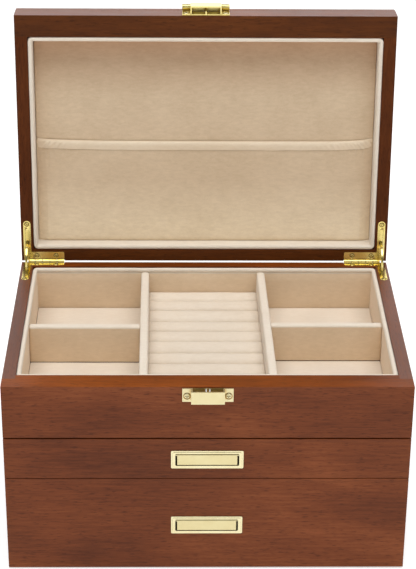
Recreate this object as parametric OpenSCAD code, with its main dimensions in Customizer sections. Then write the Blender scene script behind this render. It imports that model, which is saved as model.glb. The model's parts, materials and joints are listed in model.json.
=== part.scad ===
// Three-tier wooden jewelry box: a lined tray under a hinged lid, over two drawers.
// Origin: centre of the base's underside. +X right, +Y back, +Z up. Millimetres.
// The lid is drawn open, resting on the stops of its two quadrant hinges.

/* [Case] */
// Width of the box
case_w = 300; // [280:1:320]
// Depth of the box, front face to back face
case_d = 206; // [196:1:216]
// Height of the box up to the rim, lid not counted
case_h = 159; // [157:1:164]
// Thickness of the two side boards
side_t = 9.7; // [9.5:0.1:12]
// Thickness of the back board
back_t = 8.2; // [8:0.1:11]
// Thickness of the front rail across the tray
front_t = 17.5; // [16:0.5:20]

/* [Drawers] */
// Height of the upper, shallow drawer front
upper_front_h = 33.7; // [32:0.1:36]
// Height of the lower, deep drawer front
lower_front_h = 79.4; // [76:0.1:82]
// Thickness of both drawer fronts
front_board_t = 12; // [10:0.5:14]
// Thickness of the drawer sides and backs
drawer_wall_t = 8; // [6:0.5:9]
// Gap round a drawer in its opening
drawer_gap = 0.6; // [0.4:0.1:1]

/* [Lid] */
// Height of the lid, closed, from its rim to its top
lid_h = 26; // [25:0.5:30]
// Angle at which the lid stands open
lid_open = 94; // [88:1:96]
// Radius of the lid's eased top edges
lid_edge_r = 4; // [2:0.5:5]

/* [Tray] */
// Depth of the tray floor below the rim
tray_depth = 35.5; // [32:0.5:37]
// Thickness of the padded boards that line tray and lid
liner_t = 3.3; // [3:0.1:4.5]
// Thickness of the padded dividers
divider_t = 6.3; // [5:0.1:8]
// Distance of a main divider's middle from the centre line
divider_x = 47.3; // [44:0.1:50]
// Number of ring rolls in the middle bay
roll_count = 10; // [8:1:10]
// Height of the ring rolls above the tray floor
roll_h = 16.9; // [13:0.1:18]

/* [Brass] */
// Length of a hinge leaf along the rim
leaf_len = 33; // [31:0.5:35]
// Length of the side arm of a hinge leaf
arm_len = 33; // [30:0.5:36]
// Radius of the hinge knuckles
knuckle_r = 2.1; // [1.9:0.05:2.1]
// Radius of the curved lid stay
stay_r = 16; // [15:0.5:16]
// Width of a flush pull's frame
pull_w = 53.5; // [52:0.5:60]
// Height of a flush pull's frame
pull_h = 15; // [14.5:0.1:17]
// Width of the catch across its ears
catch_w = 37.2; // [36:0.1:40]

/* [Hidden] */

$fn = 48;
eps = 0.01;               // how far a cutter runs past a face

// colours
wood = [0.42, 0.22, 0.13];
suede = [0.85, 0.77, 0.66];
brass = [0.86, 0.73, 0.40];
steel = [0.75, 0.76, 0.78];
felt = [0.12, 0.09, 0.08];

// the case
x_out = case_w / 2;
x_in = x_out - side_t;
y_front = -case_d / 2;
y_back = case_d / 2;
y_back_in = y_back - back_t;
y_rail_in = y_front + front_t;
y_board_in = y_front + front_board_t;
felt_t = 1;
felt_inset = 4;
board_t = 5.5;            // tray board, shelf and bottom board
tier_gap = 1.2;           // shadow line between the tray tier and the upper drawer
drawer_line = 0.6;        // line between the two drawer fronts
floor_gap = 1.2;          // lower drawer front above the table
lower_front_z = floor_gap;
upper_front_z = lower_front_z + lower_front_h + drawer_line;
rail_z = upper_front_z + upper_front_h + tier_gap;
shelf_z = upper_front_z - drawer_line / 2 - board_t / 2;
tray_floor_z = case_h - tray_depth;
tray_skin_t = 2;          // suede and card on the tray floor
tray_board_z = tray_floor_z - tray_skin_t - board_t;

// the tray lining
liner_drop = 0.5;         // the lining's rolled edge stands this far below the rim
tray_x = x_in - liner_t;
tray_y0 = y_rail_in + liner_t;
tray_y1 = y_back_in - liner_t;
lining_corner_r = 4;       // in the lining's outer corners
divider_drop = 3;
divider_edge_r = 1.6;     // rounding along a divider's top
left_cross_y = 1.3;       // middle of the left cross divider
right_cross_y = 3.8;      // and of the right one
cross_divider_drop = 4.8;
divider_clear = 0.1;
roll_pitch = (tray_y1 - tray_y0) / roll_count;
roll_gap = 0.3;
roll_end_gap = 0.2;
roll_x = divider_x - divider_t / 2 - roll_end_gap;

// the lid, in its closed place
lid_gap = 0.5;
lid_z = case_h + lid_gap;
lid_panel_t = 9;
lid_rail_h = lid_h - lid_panel_t;
lid_front_t = 17.4;
lid_back_t = 10;
lid_side_t = 10;
lid_x_in = x_out - lid_side_t;
lid_y0 = y_front + lid_front_t;
lid_y1 = y_back - lid_back_t;
lid_skin_t = 3;           // padded suede on the underside of the panel
pocket_t = 3;             // fabric pocket with its slack
pocket_y0 = y_back - 102; // the pocket's gathered mouth
pocket_clear = 0.3;

// the hinge line
hinge_back = 0.7;         // the pin's axis behind the back face
hinge_y = y_back + hinge_back;
hinge_z = case_h + lid_gap / 2;
leaf_t = 1.2;
case_leaf_w = 5.8;
lid_leaf_w = 7.6;
lid_arm_extra = 1.7;      // the lid leaf's arm is this much longer
arm_w = 6.1;
arm_x = 1.9;              // outer edge of the arm, in from the side face
leaf_corner_r = 1.2;
pin_r = 1;
pin_fit = 0.05;
knuckle_gap = 0.4;
knuckle_fit = 0.15;       // air round a knuckle in the other leaf
barrel_in = 3.3;          // the barrel starts this far in from the arm's outer edge
barrel_x = x_out - arm_x - barrel_in;
knuckle_count = 5;
knuckle_pitch = (leaf_len - barrel_in) / knuckle_count;
case_knuckles = [0, 2, 4];
lid_knuckles = [1, 3];
screw_head_r = 1.7;
screw_head_h = 0.7;
screw_ring = 0.3;         // open ring round a sunk screw head
screw_taper = 0.72;       // a head's top against its full radius
screw_slot_w = 0.5;
screw_shank_r = 1;
screw_len = 8;
leaf_screw_in = [3.7, 4.6];    // screw line, in from the back face: case leaf, lid leaf
leaf_screws = [10.6, 26.2];    // screw places along the leaf
arm_screw = 3;            // screw place, in from the arm's end

// the stay, a flat arc round the hinge line
stay_t = 1.6;
stay_w = 3;
stay_fit = 0.3;
stay_x = x_out - arm_x - arm_w / 2;
stay_rivet_r = 1.3;
stay_rivet_w = 3;
stay_rivet_angle = 10;    // the end rivets lie this far past the leaves
stay_end_angle = 12.5;
stay_slot_angle = 9;      // half the length of the stay's slot in a leaf
mortise_fit = 0.4;
mortise_angle = lid_open / 2 + stay_rivet_angle + 7;    // room for the end rivet, lid closed
groove_w = 3.4;           // pressed groove down the lid leaf's arm
groove_depth = 0.6;
groove_start = 2.5;       // in from the back face
groove_end = 26.5;

// the catch
catch_plate_t = 1;
catch_ear_drop = 0.9;     // the ears' tops below the rim
catch_ear_h = 10.9;
catch_ear_z1 = case_h - catch_ear_drop;
catch_ear_z0 = catch_ear_z1 - catch_ear_h;
catch_screw_x = 15.1;
catch_screw_z = case_h - 7;
catch_head_r = 2.3;
catch_head_h = 0.9;
catch_ring = 0.6;         // open ring round a catch screw's head
catch_slot_w = 0.8;       // its cross slot's width
catch_sink = 0.7;         // how deep the catch's screw heads are sunk
block_w = 24.4;
block_t = 7.4;            // how far the block stands off the wood
block_h = 10;
block_z1 = case_h - 0.4;
block_z0 = block_z1 - block_h;
block_wall = 1.1;
spring_t = 0.7;
spring_foot = 0.5;        // half the gap at the spring's foot
spring_gap = 1;           // and at its mouth
spring_w = 4.6;
spring_drop = 0.6;        // the spring's tips below the block's edge
hook_t = 1.2;
hook_w = 3;
hook_reach = 4.5;         // the hook below the lid's rim
hook_back = 0.2;          // the hook's back, in from the block's back edges
hasp_lift = 0.4;          // the hasp's block above the lid's rim
hasp_len = 12;            // the hasp's block, from the lid's rim to its top
hasp_screw_up = 6;        // the hasp's screws above the lid's rim
hasp_axis_up = 14.4;      // the hasp's pin above the lid's rim
hasp_axis_out = 3.5;      // and out from the wood
hasp_knuckle_r = 2.2;
hasp_pin_r = 0.9;
hasp_ear_w = 6.4;
hasp_gap = 0.3;
hasp_screw_z = lid_z + hasp_screw_up;
hasp_axis_y = y_front - hasp_axis_out;
hasp_axis_z = lid_z + hasp_axis_up;

// the flush pulls
pull_proud = 1;
pull_step = 1.2;          // width of the frame's thin outer band
pull_step_t = 0.65;       // and its thickness
pull_open_w = 47.2;
pull_open_h = 10.2;
pull_collar_t = 1;        // wall of the collar that goes into the wood
pull_collar_depth = 5.5;  // from the frame's face to the collar's back edge
pull_pocket_depth = 8.5;  // the hole in the drawer front, from its face
pull_corner_r = 1;
flap_w = 44.4;
flap_t = 1.8;
flap_gap = 0.65;          // above and below the flap
flap_barrel_r = 1.15;
flap_pin_r = 0.6;
flap_pin_in = 0.1;        // the pin's ends inside the collar's outer faces
flap_recess = 0.3;        // flap face behind the frame's face
upper_pull_z = upper_front_z + 16.4;
lower_pull_z = lower_front_z + 38.7;

// the drawer boxes
drawer_x = x_in - drawer_gap;
drawer_back_gap = 1.5;
drawer_back_y = y_back_in - drawer_back_gap;
drawer_bottom_t = 4;
drawer_skin_t = 2;
shelf_setback = 0.5;      // the shelf's edge behind the drawer fronts
upper_box_z0 = shelf_z + board_t + drawer_gap;
upper_box_z1 = tray_board_z - drawer_gap;
lower_box_z0 = felt_t + board_t + drawer_gap;
lower_box_z1 = shelf_z - drawer_gap;

// ---------- shared shapes ----------

// a block between two corners
module block(x0, x1, y0, y1, z0, z1) {
    translate([x0, y0, z0]) cube([x1 - x0, y1 - y0, z1 - z0]);
}

// a round bar along X, centred at (y, z)
module bar_x(x0, x1, y, z, r) {
    translate([x0, y, z]) rotate([0, 90, 0]) cylinder(h = x1 - x0, r = r);
}

// part of a ring round the hinge line; angles run from the front rim up towards the open lid
module arc_x(r0, r1, x0, x1, a0, a1) {
    translate([0, hinge_y, hinge_z]) rotate([90, 0, -90]) rotate([0, 0, a0])
        rotate_extrude(angle = a1 - a0, $fn = 96) translate([r0, -x1]) square([r1 - r0, x1 - x0]);
}

// a rectangle with round corners, w by h, centred
module round_rect(w, h, r) {
    square([w - 2 * r, h], center = true);
    square([w, h - 2 * r], center = true);
    for (sx = [-1, 1], sy = [-1, 1]) translate([sx * (w / 2 - r), sy * (h / 2 - r)]) circle(r);
}

// turns what is drawn in the closed place up to the open place
module open_lid() {
    translate([0, hinge_y, hinge_z]) rotate([-lid_open, 0, 0]) translate([0, -hinge_y, -hinge_z]) children();
}

// reflects the case's side of the hinge to the lid's side, about the plane between the rims
module lid_side_of_hinge() {
    translate([0, 0, hinge_z]) mirror([0, 0, 1]) translate([0, 0, -hinge_z]) children();
}

module mirrored(side) {
    mirror([side > 0 ? 1 : 0, 0, 0]) children();
}

// a cross-slot wood screw: head on z = 0 and up, shank down
module wood_screw(head_r, head_h, slot_w, len) {
    difference() {
        union() {
            cylinder(h = head_h * 0.5, r = head_r);
            translate([0, 0, head_h * 0.5])
                cylinder(h = head_h * 0.5, r1 = head_r, r2 = head_r * screw_taper);
        }
        for (turn = [0, 90]) rotate([0, 0, turn])
            translate([-head_r * 0.6, -slot_w / 2, head_h * 0.3]) cube([head_r * 1.2, slot_w, head_h]);
    }
    translate([0, 0, -len]) cylinder(h = len, r = screw_shank_r);
}

// ---------- quadrant hinge, drawn for the left side ----------

// outline of a leaf seen from above: x along the rim, y forward from the back face
module leaf_outline(width, arm) {
    x0 = -x_out + arm_x;
    y0 = y_back - width;
    r = leaf_corner_r;
    difference() {
        translate([x0, y0]) square([leaf_len, width]);
        translate([x0 + leaf_len - r, y0]) square([r + eps, r]);
    }
    translate([x0 + leaf_len - r, y0 + r]) circle(r);
    translate([x0, y_back - arm + arm_w / 2]) square([arm_w, arm - arm_w / 2]);
    translate([x0 + arm_w / 2, y_back - arm + arm_w / 2]) circle(arm_w / 2);
}

// the places of a leaf's screws, [x, y]
function leaf_screw_places(screw_in, arm) = [
    [-x_out + arm_x + leaf_screws[0], y_back - screw_in],
    [-x_out + arm_x + leaf_screws[1], y_back - screw_in],
    [-stay_x, y_back - arm + arm_screw]
];

// the slot that the stay passes through
module stay_slot() {
    arc_x(stay_r - stay_w / 2 - stay_fit, stay_r + stay_w / 2 + stay_fit,
          -stay_x - stay_t / 2 - stay_fit, -stay_x + stay_t / 2 + stay_fit,
          -stay_slot_angle, stay_slot_angle);
}

// what a leaf takes out of the wood: its own bed, the barrel's hollow, pilot holes and the stay's mortise
module leaf_bed(width, screw_in, arm) {
    translate([0, 0, case_h - leaf_t]) linear_extrude(leaf_t + 1) leaf_outline(width, arm);
    bar_x(-barrel_x - knuckle_gap, -barrel_x + knuckle_count * knuckle_pitch + knuckle_gap,
          hinge_y, hinge_z, knuckle_r + knuckle_fit);
    for (p = leaf_screw_places(screw_in, arm))
        translate([p[0], p[1], case_h - leaf_t - screw_len + 1]) cylinder(h = screw_len, r = screw_shank_r);
    arc_x(stay_r - stay_w / 2 - mortise_fit, stay_r + stay_w / 2 + mortise_fit,
          -stay_x - stay_rivet_w / 2 - mortise_fit, -stay_x + stay_rivet_w / 2 + mortise_fit,
          -mortise_angle, 0);
}

// one knuckle of the barrel, made longer at both ends and thicker by what's asked
module knuckle(k, longer, thicker) {
    x0 = -barrel_x + k * knuckle_pitch + knuckle_gap / 2;
    bar_x(x0 - longer, x0 + knuckle_pitch - knuckle_gap + longer, hinge_y, hinge_z, knuckle_r + thicker);
}

// one leaf on the case's rim, with its own knuckles and room for the other leaf's
module leaf(width, screw_in, arm, own_knuckles, other_knuckles) {
    difference() {
        union() {
            difference() {
                translate([0, 0, case_h - leaf_t]) linear_extrude(leaf_t) leaf_outline(width, arm);
                for (k = other_knuckles) knuckle(k, knuckle_gap, knuckle_fit);
            }
            for (k = own_knuckles) knuckle(k, 0, 0);
        }
        bar_x(-barrel_x - 1, -barrel_x + knuckle_count * knuckle_pitch + 1,
              hinge_y, hinge_z, pin_r + pin_fit);
        for (p = leaf_screw_places(screw_in, arm)) translate([p[0], p[1], case_h]) {
            translate([0, 0, -leaf_t - 1]) cylinder(h = leaf_t + 2, r = screw_shank_r);
            translate([0, 0, -screw_head_h]) cylinder(h = screw_head_h + 1, r = screw_head_r + screw_ring);
        }
        stay_slot();
    }
}

module case_leaf() {
    leaf(case_leaf_w, leaf_screw_in[0], arm_len, case_knuckles, lid_knuckles);
}

// the lid's leaf has a pressed groove down its arm as well
module lid_leaf() {
    difference() {
        leaf(lid_leaf_w, leaf_screw_in[1], arm_len + lid_arm_extra, lid_knuckles, case_knuckles);
        translate([-stay_x, y_back - groove_end, case_h - groove_depth]) cylinder(h = 1, r = groove_w / 2);
        block(-stay_x - groove_w / 2, -stay_x + groove_w / 2, y_back - groove_end, y_back - groove_start,
              case_h - groove_depth, case_h + 1);
    }
}

module case_leaf_bed() {
    leaf_bed(case_leaf_w, leaf_screw_in[0], arm_len);
}

module lid_leaf_bed() {
    lid_side_of_hinge() leaf_bed(lid_leaf_w, leaf_screw_in[1], arm_len + lid_arm_extra);
}

module leaf_screw_set(screw_in, arm) {
    for (p = leaf_screw_places(screw_in, arm))
        translate([p[0], p[1], case_h - screw_head_h])
            wood_screw(screw_head_r, screw_head_h, screw_slot_w, screw_len - leaf_t);
}

module stay(side) {
    color(brass) mirrored(side) {
        arc_x(stay_r - stay_w / 2, stay_r + stay_w / 2, -stay_x - stay_t / 2, -stay_x + stay_t / 2,
              -stay_end_angle, lid_open + stay_end_angle);
        for (a = [-stay_rivet_angle, lid_open + stay_rivet_angle])
            bar_x(-stay_x - stay_rivet_w / 2, -stay_x + stay_rivet_w / 2,
                  hinge_y - stay_r * cos(a), hinge_z + stay_r * sin(a), stay_rivet_r);
    }
}

// ---------- case ----------

module base_felt() {
    color(felt) block(-x_out + felt_inset, x_out - felt_inset, y_board_in, y_back - felt_inset, 0, felt_t);
}

module bottom_board() {
    color(wood) block(-x_in, x_in, y_board_in, y_back_in, felt_t, felt_t + board_t);
}

module side_board(side) {
    color(wood) mirrored(side) difference() {
        block(-x_out, -x_in, y_board_in, y_back, felt_t, case_h);
        case_leaf_bed();
    }
}

module back_panel() {
    color(wood) difference() {
        block(-x_in, x_in, y_back_in, y_back, felt_t, case_h);
        case_leaf_bed();
        mirrored(1) case_leaf_bed();
    }
}

// the rail overlaps the side boards' front edges and is rabbeted in between them
module front_rail() {
    color(wood) difference() {
        union() {
            block(-x_out, x_out, y_front, y_board_in, rail_z, case_h);
            block(-x_in, x_in, y_board_in - eps, y_rail_in, rail_z, case_h);
        }
        catch_pilot_holes(catch_screw_z);
    }
}

// holes in the wood for a catch plate's screws
module catch_pilot_holes(z) {
    for (s = [-1, 1]) translate([s * catch_screw_x, y_front - 1, z]) rotate([-90, 0, 0])
        cylinder(h = screw_len + 1, r = screw_shank_r);
}

module drawer_shelf() {
    color(wood) block(-x_in, x_in, y_board_in + shelf_setback, y_back_in, shelf_z, shelf_z + board_t);
}

module tray_board() {
    color(wood) block(-x_in, x_in, y_rail_in, y_back_in, tray_board_z, tray_board_z + board_t);
}

// ---------- tray ----------

// the lining: padded boards round the four walls and a suede floor
module tray_liner() {
    wall_h = case_h - liner_drop - tray_board_z - board_t;
    mid_y = (y_rail_in + y_back_in) / 2;
    color(suede) difference() {
        translate([0, mid_y, tray_board_z + board_t]) linear_extrude(wall_h)
            round_rect(2 * x_in, y_back_in - y_rail_in, lining_corner_r);
        block(-tray_x, tray_x, tray_y0, tray_y1, tray_floor_z, case_h);
    }
}

// a padded board with a rounded top, running along Y
module divider_board(len, h) {
    half = divider_t / 2;
    r = divider_edge_r;
    block(-half, half, -len / 2, len / 2, 0, h - r);
    block(-half + r, half - r, -len / 2, len / 2, 0, h);
    for (s = [-1, 1]) translate([s * (half - r), -len / 2, h - r]) rotate([-90, 0, 0])
        cylinder(h = len, r = r);
}

module main_divider(side) {
    len = tray_y1 - tray_y0 - 2 * divider_clear;
    color(suede) translate([side * divider_x, (tray_y0 + tray_y1) / 2, tray_floor_z])
        divider_board(len, tray_depth - divider_drop);
}

module cross_divider(side, y) {
    x0 = divider_x + divider_t / 2 + divider_clear;
    x1 = tray_x - divider_clear;
    color(suede) translate([side * (x0 + x1) / 2, y, tray_floor_z]) rotate([0, 0, 90])
        divider_board(x1 - x0, tray_depth - cross_divider_drop);
}

// one foam roll covered in suede: flat sides and a half-round top
module ring_roll(y) {
    r = (roll_pitch - roll_gap) / 2;
    z = tray_floor_z + roll_h - r;
    block(-roll_x, roll_x, y - r, y + r, tray_floor_z, z);
    intersection() {
        bar_x(-roll_x, roll_x, y, z, r);
        block(-roll_x, roll_x, y - r, y + r, z - eps, z + r);
    }
}

module ring_rolls() {
    color(suede) for (i = [0 : roll_count - 1]) ring_roll(tray_y0 + (i + 0.5) * roll_pitch);
}

// ---------- hinges on the case ----------

module hinge_case_leaf(side) {
    color(brass) mirrored(side) case_leaf();
}

module hinge_pins() {
    color(brass) for (side = [-1, 1]) mirrored(side)
        bar_x(-barrel_x, -barrel_x + knuckle_count * knuckle_pitch, hinge_y, hinge_z, pin_r);
}

module case_hinge_screws() {
    color(brass) for (side = [-1, 1]) mirrored(side) leaf_screw_set(leaf_screw_in[0], arm_len);
}

// ---------- catch on the front rail ----------

// the two screw holes of a catch plate, each with a sunk ring for the screw's head
module catch_screw_holes(z) {
    y_plate = y_front - catch_plate_t;
    for (s = [-1, 1]) translate([s * catch_screw_x, y_plate - 1, z]) rotate([-90, 0, 0]) {
        cylinder(h = catch_plate_t + 2, r = screw_shank_r);
        cylinder(h = 1 + catch_sink, r = catch_head_r + catch_ring);
    }
}

// a catch plate's two screws
module catch_screw_pair(z) {
    for (s = [-1, 1])
        translate([s * catch_screw_x, y_front - catch_plate_t + catch_sink, z]) rotate([90, 0, 0])
            wood_screw(catch_head_r, catch_head_h, catch_slot_w, screw_len - catch_plate_t);
}

// the pressed plate: two ears and a hollow block that is open at the top
module catch_plate() {
    y_plate = y_front - catch_plate_t;
    y_face = y_front - block_t;
    color(brass) difference() {
        union() {
            block(-catch_w / 2, catch_w / 2, y_plate, y_front, catch_ear_z0, catch_ear_z1);
            block(-block_w / 2, block_w / 2, y_face, y_plate + eps, block_z0, block_z1);
        }
        block(-block_w / 2 + block_wall, block_w / 2 - block_wall, y_face + block_wall, y_plate,
              block_z0 + block_wall, case_h);
        catch_screw_holes(catch_screw_z);
    }
}

// a V of spring steel whose mouth takes the hasp's hook
module catch_spring() {
    z0 = block_z0 + block_wall;
    z1 = block_z1 - spring_drop;
    foot = spring_foot;
    color(steel) translate([0, y_front - catch_plate_t - hasp_gap - spring_w, 0]) rotate([90, 0, 180])
        linear_extrude(spring_w) {
            for (s = [-1, 1]) polygon([
                [s * foot, z0], [s * (foot + spring_t), z0],
                [s * (spring_gap + spring_t), z1], [s * spring_gap, z1]
            ]);
            translate([-foot - spring_t, z0]) square([2 * (foot + spring_t), spring_t]);
        }
}

module catch_screws() {
    color(brass) catch_screw_pair(catch_screw_z);
}

// ---------- lid ----------

// end view of the lid: square below, eased corners on top
module lid_profile(w) {
    r = lid_edge_r;
    translate([-w / 2, 0]) square([w, lid_h - r]);
    translate([-w / 2 + r, 0]) square([w - 2 * r, lid_h]);
    for (s = [-1, 1]) translate([s * (w / 2 - r), lid_h - r]) circle(r);
}

// the lid's whole outer form, closed
module lid_form() {
    intersection() {
        translate([-x_out, 0, lid_z]) rotate([90, 0, 90]) linear_extrude(case_w) lid_profile(case_d);
        translate([0, y_back, lid_z]) rotate([90, 0, 0]) linear_extrude(case_d) lid_profile(case_w);
    }
}

module lid_panel() {
    color(wood) open_lid() intersection() {
        lid_form();
        block(-x_out, x_out, y_front, y_back, lid_z + lid_rail_h, lid_z + lid_h);
    }
}

module lid_front_rail() {
    color(wood) open_lid() difference() {
        block(-x_out, x_out, y_front, lid_y0, lid_z, lid_z + lid_rail_h);
        catch_pilot_holes(hasp_screw_z);
    }
}

module lid_back_rail() {
    color(wood) open_lid() difference() {
        block(-lid_x_in, lid_x_in, lid_y1, y_back, lid_z, lid_z + lid_rail_h);
        for (side = [-1, 1]) mirrored(side) lid_leaf_bed();
    }
}

module lid_side_rail(side) {
    color(wood) open_lid() mirrored(side) difference() {
        block(-x_out, -lid_x_in, lid_y0, y_back, lid_z, lid_z + lid_rail_h);
        lid_leaf_bed();
    }
}

// padded boards round the recess and a padded panel under the top
module lid_liner() {
    mid_y = (lid_y0 + lid_y1) / 2;
    color(suede) open_lid() difference() {
        translate([0, mid_y, lid_z + liner_drop]) linear_extrude(lid_rail_h - liner_drop)
            round_rect(2 * lid_x_in, lid_y1 - lid_y0, lining_corner_r);
        block(-lid_x_in + liner_t, lid_x_in - liner_t, lid_y0 + liner_t, lid_y1 - liner_t,
              lid_z, lid_z + lid_rail_h - lid_skin_t);
    }
}

// the gathered fabric pocket over the hinge half of the recess
module lid_pocket() {
    z1 = lid_z + lid_rail_h - lid_skin_t;
    color(suede) open_lid()
        block(-lid_x_in + liner_t + pocket_clear, lid_x_in - liner_t - pocket_clear,
              pocket_y0, lid_y1 - liner_t - pocket_clear, z1 - pocket_t, z1);
}

module hinge_lid_leaf(side) {
    color(brass) open_lid() mirrored(side) lid_side_of_hinge() lid_leaf();
}

module lid_hinge_screws() {
    color(brass) open_lid() for (side = [-1, 1]) mirrored(side) lid_side_of_hinge()
        leaf_screw_set(leaf_screw_in[1], arm_len + lid_arm_extra);
}

// ---------- hasp on the lid ----------

// ears on the wood, with a knuckle above each
module hasp_plate() {
    y_plate = y_front - catch_plate_t;
    color(brass) open_lid() difference() {
        union() {
            block(-catch_w / 2, catch_w / 2, y_plate, y_front, lid_z + catch_ear_drop, hasp_axis_z);
            for (s = [-1, 1]) {
                x0 = s > 0 ? catch_w / 2 - hasp_ear_w : -catch_w / 2;
                bar_x(x0, x0 + hasp_ear_w, hasp_axis_y, hasp_axis_z, hasp_knuckle_r);
                block(x0, x0 + hasp_ear_w, hasp_axis_y, y_front, hasp_axis_z, hasp_axis_z + hasp_knuckle_r);
                block(x0, x0 + hasp_ear_w, y_plate, y_front, hasp_axis_z - eps, hasp_axis_z + hasp_knuckle_r);
            }
        }
        bar_x(-catch_w / 2 - 1, catch_w / 2 + 1, hasp_axis_y, hasp_axis_z, hasp_pin_r + pin_fit);
        catch_screw_holes(hasp_screw_z);
    }
}

module hasp_pin() {
    color(brass) open_lid() bar_x(-catch_w / 2, catch_w / 2, hasp_axis_y, hasp_axis_z, hasp_pin_r);
}

module hasp_screws() {
    color(brass) open_lid() catch_screw_pair(hasp_screw_z);
}

// the swinging block, hollow and open towards the case, with the hook inside
module hasp() {
    y_in = y_front - catch_plate_t - hasp_gap;
    y_face = y_front - block_t;
    z0 = lid_z + hasp_lift;
    z1 = lid_z + hasp_len;
    y_hook = y_in - hook_back;
    x_mid = catch_w / 2 - hasp_ear_w - hasp_gap;
    color(brass) open_lid() difference() {
        union() {
            difference() {
                block(-block_w / 2, block_w / 2, y_face, y_in, z0, z1);
                block(-block_w / 2 + block_wall, block_w / 2 - block_wall, y_face + block_wall, y_in + 1,
                      z0 - 1, z1 - block_wall);
            }
            bar_x(-x_mid, x_mid, hasp_axis_y, hasp_axis_z, hasp_knuckle_r);
            block(-x_mid, x_mid, hasp_axis_y - hasp_knuckle_r, hasp_axis_y, z1 - block_wall, hasp_axis_z);
            block(-hook_t / 2, hook_t / 2, y_hook - hook_w, y_hook, lid_z - hook_reach, z1 - eps);
        }
        bar_x(-x_mid - 1, x_mid + 1, hasp_axis_y, hasp_axis_z, hasp_pin_r + pin_fit);
    }
}

// ---------- drawers ----------

// the front board with the hole for the flush pull's collar
module drawer_front(z0, h, pull_z) {
    color(wood) difference() {
        block(-x_out, x_out, y_front, y_board_in, z0, z0 + h);
        translate([0, y_front, pull_z]) pull_slab(pull_collar_t, pull_proud, pull_pocket_depth);
    }
}

module drawer_side(side, z0, z1) {
    color(wood) mirrored(side) block(-drawer_x, -drawer_x + drawer_wall_t, y_board_in, drawer_back_y, z0, z1);
}

module drawer_back(z0, z1) {
    x = drawer_x - drawer_wall_t;
    color(wood) block(-x, x, drawer_back_y - drawer_wall_t, drawer_back_y, z0, z1);
}

module drawer_bottom(z0) {
    x = drawer_x - drawer_wall_t;
    color(wood) block(-x, x, y_board_in, drawer_back_y - drawer_wall_t, z0, z0 + drawer_bottom_t);
}

// suede on the drawer's floor and four walls
module drawer_liner(z0, z1) {
    x = drawer_x - drawer_wall_t;
    y0 = y_board_in;
    y1 = drawer_back_y - drawer_wall_t;
    color(suede) difference() {
        block(-x, x, y0, y1, z0 + drawer_bottom_t, z1 - liner_drop);
        block(-x + drawer_skin_t, x - drawer_skin_t, y0 + drawer_skin_t, y1 - drawer_skin_t,
              z0 + drawer_bottom_t + drawer_skin_t, z1);
    }
}

// a slab round the pull's opening, wider than it by the margin, from one depth to another
module pull_slab(margin, y_out, y_deep) {
    translate([0, y_deep, 0]) rotate([90, 0, 0]) linear_extrude(y_out + y_deep)
        round_rect(pull_open_w + 2 * margin, pull_open_h + 2 * margin, pull_corner_r);
}

// a stepped brass frame with a collar behind it that goes into the wood
module pull_frame(z) {
    axis_y = y_front - pull_proud + flap_recess + flap_barrel_r;
    axis_z = z + pull_open_h / 2 - flap_gap - flap_barrel_r;
    collar_y = pull_collar_depth - pull_proud;
    pin_half = pull_open_w / 2 + pull_collar_t + 1;
    color(brass) difference() {
        union() {
            translate([0, y_front, z]) rotate([90, 0, 0]) {
                linear_extrude(pull_step_t) round_rect(pull_w, pull_h, pull_corner_r);
                linear_extrude(pull_proud)
                    round_rect(pull_w - 2 * pull_step, pull_h - 2 * pull_step, pull_corner_r);
            }
            translate([0, y_front, z]) pull_slab(pull_collar_t, 0, collar_y);
        }
        translate([0, y_front, z]) pull_slab(0, pull_proud + 1, collar_y + 1);
        bar_x(-pin_half, pin_half, axis_y, axis_z, flap_pin_r);
    }
}

module pull_pin(z) {
    axis_y = y_front - pull_proud + flap_recess + flap_barrel_r;
    axis_z = z + pull_open_h / 2 - flap_gap - flap_barrel_r;
    half = pull_open_w / 2 + pull_collar_t - flap_pin_in;
    color(brass) bar_x(-half, half, axis_y, axis_z, flap_pin_r);
}

// the flap hangs from its top edge and lies flush in the frame
module pull_flap(z) {
    y0 = y_front - pull_proud + flap_recess;
    axis_y = y0 + flap_barrel_r;
    axis_z = z + pull_open_h / 2 - flap_gap - flap_barrel_r;
    color(brass) difference() {
        union() {
            bar_x(-flap_w / 2, flap_w / 2, axis_y, axis_z, flap_barrel_r);
            block(-flap_w / 2, flap_w / 2, y0, y0 + flap_t, z - pull_open_h / 2 + flap_gap, axis_z);
        }
        bar_x(-flap_w / 2 - 1, flap_w / 2 + 1, axis_y, axis_z, flap_pin_r + pin_fit);
    }
}

base_felt();
bottom_board();
side_board(-1);  // left_side
side_board(1);  // right_side
back_panel();
front_rail();
drawer_shelf();
tray_board();
tray_liner();
main_divider(-1);  // left_divider
main_divider(1);  // right_divider
cross_divider(-1, left_cross_y);  // left_cross_divider
cross_divider(1, right_cross_y);  // right_cross_divider
ring_rolls();
hinge_case_leaf(-1);  // left_hinge_case_leaf
hinge_case_leaf(1);  // right_hinge_case_leaf
hinge_pins();
case_hinge_screws();
catch_plate();
catch_spring();
catch_screws();
lid_panel();
lid_front_rail();
lid_back_rail();
lid_side_rail(-1);  // lid_left_rail
lid_side_rail(1);  // lid_right_rail
lid_liner();
lid_pocket();
hinge_lid_leaf(-1);  // left_hinge_lid_leaf
hinge_lid_leaf(1);  // right_hinge_lid_leaf
lid_hinge_screws();
hasp_plate();
hasp_pin();
hasp_screws();
hasp();
stay(-1);  // left_stay
stay(1);  // right_stay
drawer_front(upper_front_z, upper_front_h, upper_pull_z);  // upper_drawer_front
drawer_side(-1, upper_box_z0, upper_box_z1);  // upper_drawer_left_side
drawer_side(1, upper_box_z0, upper_box_z1);  // upper_drawer_right_side
drawer_back(upper_box_z0, upper_box_z1);  // upper_drawer_back
drawer_bottom(upper_box_z0);  // upper_drawer_bottom
drawer_liner(upper_box_z0, upper_box_z1);  // upper_drawer_liner
pull_frame(upper_pull_z);  // upper_pull_frame
pull_pin(upper_pull_z);  // upper_pull_pin
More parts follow.
